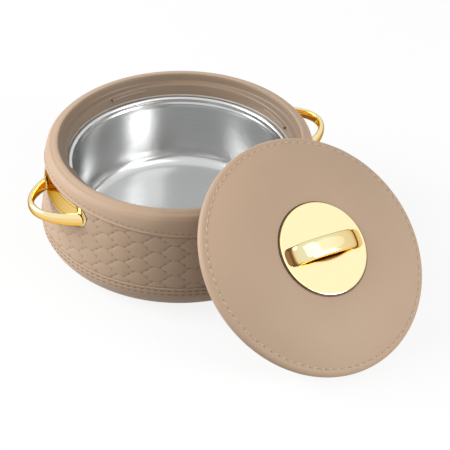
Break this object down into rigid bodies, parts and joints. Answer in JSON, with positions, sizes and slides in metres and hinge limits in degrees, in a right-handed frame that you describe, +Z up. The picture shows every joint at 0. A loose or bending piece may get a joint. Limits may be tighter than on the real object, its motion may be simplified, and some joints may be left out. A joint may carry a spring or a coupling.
{
  "type": "insulated serving casserole with lift-off lid",
  "caption": "Round insulated serving pot with a quilted stitched wrap, steel bowl, side loop handles and a bridge-knob lid leaning on its shoulder.",
  "frame": {"origin": "centre of the base's flat underside, on the surface the pot stands on", "axes": "+Z up along the pot's axis, the loop handles on -X and +X, the lid leaning on the -Y side, turned 9.8 degrees towards +X"},
  "size_m": [0.2824, 0.3626, 0.1341],
  "materials": {
    "leather_taupe": "soft taupe leatherette, quilted and stitched",
    "moulded_taupe": "moulded taupe plastic, satin",
    "dark_plastic": "dark brown moulded plastic",
    "steel": "polished stainless steel",
    "gold": "bright gold plating",
    "zinc": "zinc plated steel",
    "foam": "rigid cream insulation foam",
    "silicone": "pale grey silicone"
  },
  "bodies": {
    "casserole": {"base_cap": "dark_plastic", "outer_body": "moulded_taupe", "base_wrap": "leather_taupe", "quilted_wrap": "leather_taupe", "shoulder_wrap": "leather_taupe", "foam_core": "foam", "inner_bowl": "steel", "bowl_seal": "silicone", "collar_ring": "moulded_taupe", "left_handle": "gold", "right_handle": "gold", "handle_screw_1": "zinc", "handle_screw_2": "zinc", "handle_screw_3": "zinc", "handle_screw_4": "zinc", "handle_washer_1": "zinc", "handle_washer_2": "zinc", "handle_washer_3": "zinc", "handle_washer_4": "zinc"},
    "lid": {"lid_cover": "leather_taupe", "lid_edge_band": "leather_taupe", "lid_shell": "moulded_taupe", "lid_foam": "foam", "lid_liner": "moulded_taupe", "lid_gasket": "silicone", "knob_plate": "gold", "lid_knob": "gold", "knob_screw_1": "zinc", "knob_screw_2": "zinc", "knob_washer_1": "zinc", "knob_washer_2": "zinc"}
  },
  "joints": [
    {"name": "lid_lift", "type": "slide", "parent": "casserole", "child": "lid", "axis": [0, 0, 1], "range_m": [0, 0.15]}
  ]
}
